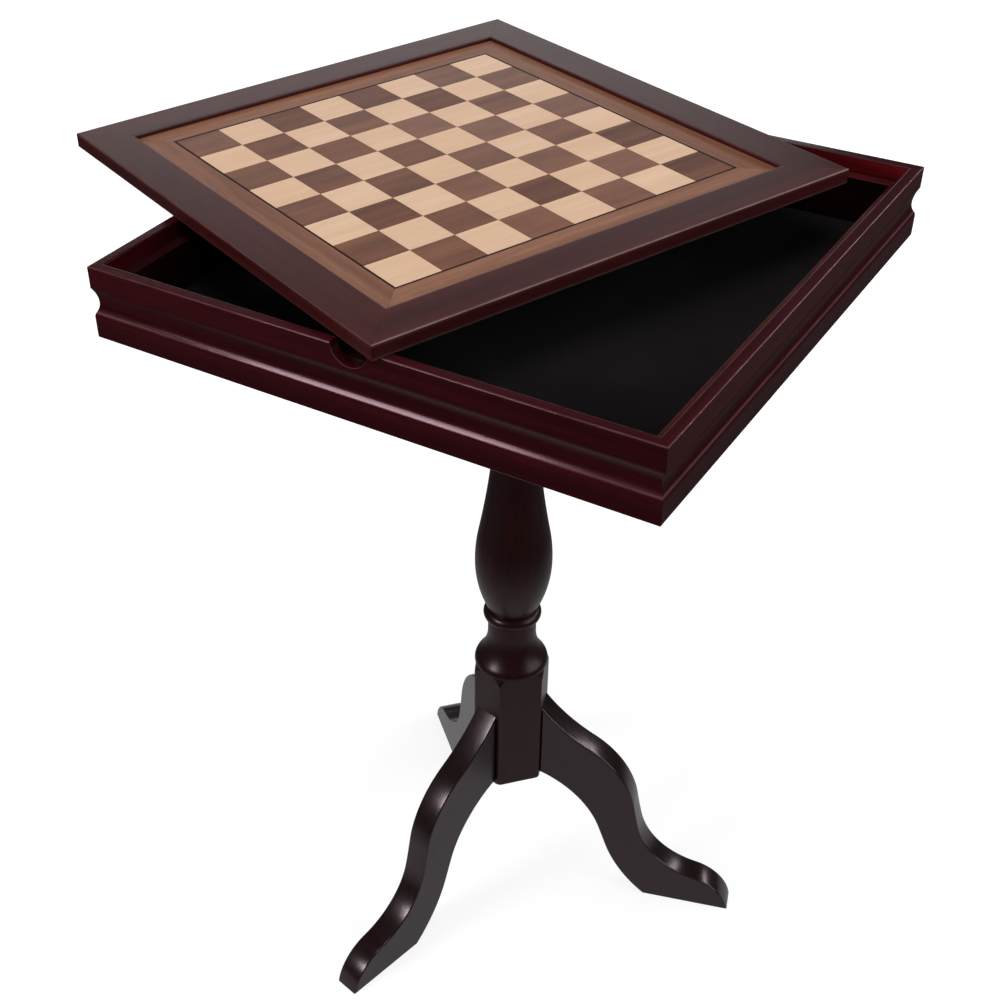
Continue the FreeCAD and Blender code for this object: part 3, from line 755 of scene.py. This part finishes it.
def build_legs():
    """The outline is carried across the leg's thickness, drawn in by a quarter round at each arris:
    depth = ease (1 - cos t), width = half - ease (1 - sin t). The grain falls outwards along the leg."""
    t = np.linspace(0, np.pi / 2, ROUND_POINTS)
    round_in = LEG_EASE * (1 - np.cos(t))
    round_out = LEG_HALF - LEG_EASE * (1 - np.sin(t))
    depths = np.concatenate([[CHEEK_DRAWN_IN], round_in[::-1], round_in, [CHEEK_DRAWN_IN]])
    widths = np.concatenate([[-LEG_HALF], -round_out[::-1], round_out, [LEG_HALF]])
    curve = drawn_in(leg_line(), depths)
    x, y, z = curve[..., 0], widths[:, None] + 0 * curve[..., 0], curve[..., 1]
    grid = np.stack([x, y, z], axis=-1)
    lightening = np.concatenate([[0], np.sin(2 * t[::-1]), np.sin(2 * t), [0]])[:, None]
    fall_cos, fall_sin = math.cos(LEG_GRAIN_FALL), math.sin(LEG_GRAIN_FALL)
    timber = np.stack([x * fall_cos - z * fall_sin, y, x * fall_sin + z * fall_cos], axis=-1)
    for name, angle in LEGS.items():
        skin(
            f"shaped_leg_{name}", set_down(grid, BASE_ANGLE + angle), plank(timber), lightening, leg_lacquer,
            "table", f"leg_{name}",
        )


# Lift-out board


def frame_section():
    """The board's frame in (y, z): eased arrises outside and above, and the groove for the core."""
    outer, inner = -BOARD_HALF, -FRAME_INNER
    groove = inner - CORE_TONGUE
    return traced(
        (inner, RIM),
        ("run", (outer + EASE, RIM)),
        ("bend", (outer, RIM + EASE)),
        ("run", (outer, BOARD_TOP - EASE)),
        ("bend", (outer + EASE, BOARD_TOP)),
        ("run", (inner - EASE, BOARD_TOP)),
        ("bend", (inner, BOARD_TOP - EASE)),
        ("run", (inner, CORE_TOP)),
        ("run", (groove, CORE_TOP)),
        ("run", (groove, CORE_UNDER)),
        ("run", (inner, CORE_UNDER)),
        ("run", (inner, RIM + CLOSING_GAP)),
    )


def strip_section(outer_half, inner_half):
    """A strip of veneer in (y, z) on the core, a seam away from its neighbours."""
    outer, inner = -outer_half + SEAM, -inner_half - SEAM
    return traced(
        (outer, CORE_TOP),
        ("run", (outer, FIELD_TOP)),
        ("run", (inner, FIELD_TOP)),
        ("run", (inner, CORE_TOP)),
        ("run", (outer + SEAM, CORE_TOP)),
    )


def build_strips():
    """The frame, the border and the string line: four mitred lengths of each. The frame gets a pale painted
    highlight by its nearness to its two upper arrises and its outer lower one, strongest on the right side."""
    section = frame_section()
    arrises = [(-BOARD_HALF, BOARD_TOP), (-FRAME_INNER, BOARD_TOP), (-BOARD_HALF, RIM)]
    frame_highlight = nearness(section, arrises, BOARD_HIGHLIGHT_REACH)
    border = strip_section(FRAME_INNER, STRING_HALF)
    string = strip_section(STRING_HALF, FIELD_HALF)
    for name, line, wear, finish, slot, node in (
        ("frame_rail", section, frame_highlight, board_lacquer, "board_mahogany", "board_{}_rail"),
        ("border_strip", border, 0, border_walnut, "walnut", "border_{}"),
        ("string_line", string, 0, string_stain, "dyed_stringing", "string_{}"),
    ):
        for side, angle in SIDES.items():
            grid = mitred(line, PLAIN_ROWS)
            placed = set_down(set_down(grid, angle), BOARD_ANGLE, BOARD_CENTRE)
            # Painted highlight along the frame's arrises, strongest on the right side.
            side_wear_and_light = BOARD_PAINTED_HIGHLIGHT[side] * wear
            skin(f"{name}_{side}", placed, plank(grid), side_wear_and_light, finish, "board", node.format(side))


def build_squares():
    """A square is a slab of three rings of four corners, the top one drawn in by the ease. Each has its own
    stretch of timber and its own tone, which takes the place of wear."""
    half = SQUARE / 2 - SQUARE_GAP
    halves = np.array([half, half, half - SQUARE_EASE])[:, None]
    heights = np.array([CORE_TOP, FIELD_TOP - SQUARE_EASE, FIELD_TOP])[:, None]
    x = halves * np.array([-1, 1, 1, -1])
    y = halves * np.array([-1, -1, 1, 1])
    tile = np.stack([x, y, heights + 0 * x], axis=-1)
    count = np.arange(SQUARES_A_SIDE)
    middles = (count + 0.5) * SQUARE - FIELD_HALF
    centre_x, centre_y = np.meshgrid(middles, middles, indexing="ij")
    centres = np.stack([centre_x, centre_y, 0 * centre_x], axis=-1)
    dark = (count[:, None] + count) % 2 == 0
    for name, chosen, finish, slot, node in (
        ("walnut_squares", dark, square_walnut, "walnut", "dark_squares"),
        ("maple_squares", ~dark, square_maple, "maple", "light_squares"),
    ):
        spots = centres[chosen][:, None, None]
        cut = shuffle.uniform(-TIMBER_REACH, TIMBER_REACH, (len(spots), 1, 1, 3))
        tone = shuffle.uniform(0, 1, (len(spots), 1, 1))
        placed = set_down(tile + spots, BOARD_ANGLE, BOARD_CENTRE)
        skin(name, placed, tile[..., [1, 0, 2]] + cut, tone, finish, "board", node)


def finish_frame_nodes():
    """The nodes whose own shape stays get their finishes."""
    for node, finish in {
        "tray_bottom_panel": plywood,
        "mounting_block": block_stain,
        "block_insert": insert_brass,
        "column_bolt": bolt_zinc,
        "board_core": plywood,
        "board_backing": backing_veneer,
    }.items():
        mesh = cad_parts[node].data
        mesh.materials.clear()
        mesh.materials.append(finish)


# Floor, light and camera, in metres

FLOOR_REACH = 9.0
FLOOR_LEVEL = 0.3
FLOOR_LEVEL_MIRRORED = 0.06
WORLD_LEVEL = 0.38
WORLD_LEVEL_MIRRORED = 0.08

# Lamps: place, aim, width and depth, and power in watts
LAMPS = {
    "left_softbox": ((-1.0, -1.95, 1.38), (0, 0, 0.5), (0.6, 0.6), 27),
    "right_softbox": ((2.2, 0.6, 1.4), (0, 0, 0.65), (2.0, 1.8), 25),
    "rear_strip": ((1.3, 1.75, 1.25), (0, 0, 0.65), (0.8, 0.15), 6),
    "back_softbox": ((-1.35, 1.9, 1.35), (0, 0, 0.7), (1.9, 0.6), 5.3),
    "top_softbox": ((0.0, -0.2, 2.8), (0, 0, 0.7), (1.2, 1.2), 23),
}

# The photograph's viewpoint: the sensor in millimetres, the focal length and the shift as shares of the
# frame's width, and the eye's place and directions
SENSOR_WIDTH = 36
FOCAL_SHARE = 1.53
SHIFT_X_SHARE = 0.1096
SHIFT_Y_SHARE = 0.0733
EYE = (0.5183, -0.9317, 1.2232)
EYE_FORWARD = np.array([-0.44897, 0.64248, -0.621])
EYE_RIGHT = np.array([0.83319, 0.55211, -0.03117])


def unit(vector):
    """The vector at a length of one."""
    return vector / np.linalg.norm(vector)


def facing(back, up):
    """The turn whose third axis is back and whose second axis leans to up."""
    right = unit(np.cross(up, back))
    return Matrix(np.stack([right, np.cross(back, right), back], axis=1).tolist()).to_euler()


def faded(tree, distance, near, far, near_level, far_level):
    """A level that goes evenly from one value to another between two distances."""
    return add(tree, "ShaderNodeMapRange", distance, near, far, near_level, far_level).outputs[0]


def build_floor():
    """A square floor, pale to the camera. In the lacquer's reflections it is bright round the pedestal and
    dark beyond."""
    finish, tree = new_finish("pale_floor")
    place = object_place(tree)
    distance = add(tree, "ShaderNodeVectorMath", place, settings={"operation": "LENGTH"}).outputs["Value"]
    backdrop = faded(tree, distance, near=0.5, far=1.6, near_level=0.80, far_level=0.97)
    mirrored = faded(tree, distance, near=0.3, far=0.8, near_level=0.42, far_level=0.0)
    ray = add(tree, "ShaderNodeLightPath").outputs
    glow = calculate(tree, "MULTIPLY", ray["Is Camera Ray"], backdrop)
    glow = calculate(tree, "MULTIPLY_ADD", ray["Is Glossy Ray"], mirrored, glow)
    pale = blend(tree, ray["Is Glossy Ray"], grey(FLOOR_LEVEL), grey(FLOOR_LEVEL_MIRRORED))
    give_shader(
        tree, Base_Color=pale, Roughness=0.9, Specular_IOR_Level=0.0, Emission_Color=grey(1.0),
        Emission_Strength=glow,
    )
    mesh = bpy.data.meshes.new("floor")
    corners = [(-1, -1, 0), (1, -1, 0), (1, 1, 0), (-1, 1, 0)]
    mesh.from_pydata((FLOOR_REACH * np.array(corners)).tolist(), [], [(0, 1, 2, 3)])
    mesh.materials.append(finish)
    floor = bpy.data.objects.new("floor", mesh)
    bpy.context.scene.collection.objects.link(floor)


def build_world():
    """Even light from all round, white to the camera and dark in reflections."""
    world = bpy.data.worlds.new("studio")
    bpy.context.scene.world = world
    world.use_nodes = True
    tree = world.node_tree
    tree.nodes.clear()
    ray = add(tree, "ShaderNodeLightPath").outputs
    level = calculate(
        tree, "MULTIPLY_ADD", ray["Is Glossy Ray"], WORLD_LEVEL_MIRRORED - WORLD_LEVEL, WORLD_LEVEL
    )
    level = calculate(tree, "MULTIPLY_ADD", ray["Is Camera Ray"], 1 - WORLD_LEVEL, level)
    background = add(tree, "ShaderNodeBackground", Color=grey(1.0), Strength=level)
    add(tree, "ShaderNodeOutputWorld", background.outputs[0])


def build_lamps():
    """Softboxes, each turned to its aim."""
    for name, (place, aim, (width, depth), power) in LAMPS.items():
        lamp = bpy.data.lights.new(name, "AREA")
        lamp.shape = "RECTANGLE"
        lamp.size = width
        lamp.size_y = depth
        lamp.energy = power
        holder = bpy.data.objects.new(name, lamp)
        bpy.context.scene.collection.objects.link(holder)
        holder.location = place
        holder.rotation_euler = facing(unit(np.array(place) - np.array(aim)), np.array([0.0, 0.0, 1.0]))


def build_camera():
    """The camera at the photograph's viewpoint, with its lens shifted to the photograph's frame."""
    lens = bpy.data.cameras.new("viewpoint")
    lens.sensor_width = SENSOR_WIDTH
    lens.lens = SENSOR_WIDTH * FOCAL_SHARE
    lens.shift_x = SHIFT_X_SHARE
    lens.shift_y = SHIFT_Y_SHARE
    camera = bpy.data.objects.new("viewpoint", lens)
    bpy.context.scene.collection.objects.link(camera)
    camera.location = EYE
    camera.rotation_euler = facing(-EYE_FORWARD, np.cross(EYE_RIGHT, EYE_FORWARD))
    bpy.context.scene.camera = camera


build_tray()
build_felt()
build_column()
build_legs()
build_strips()
build_squares()
finish_frame_nodes()
build_floor()
build_world()
build_lamps()
build_camera()
bpy.context.scene.view_settings.view_transform = "Standard"
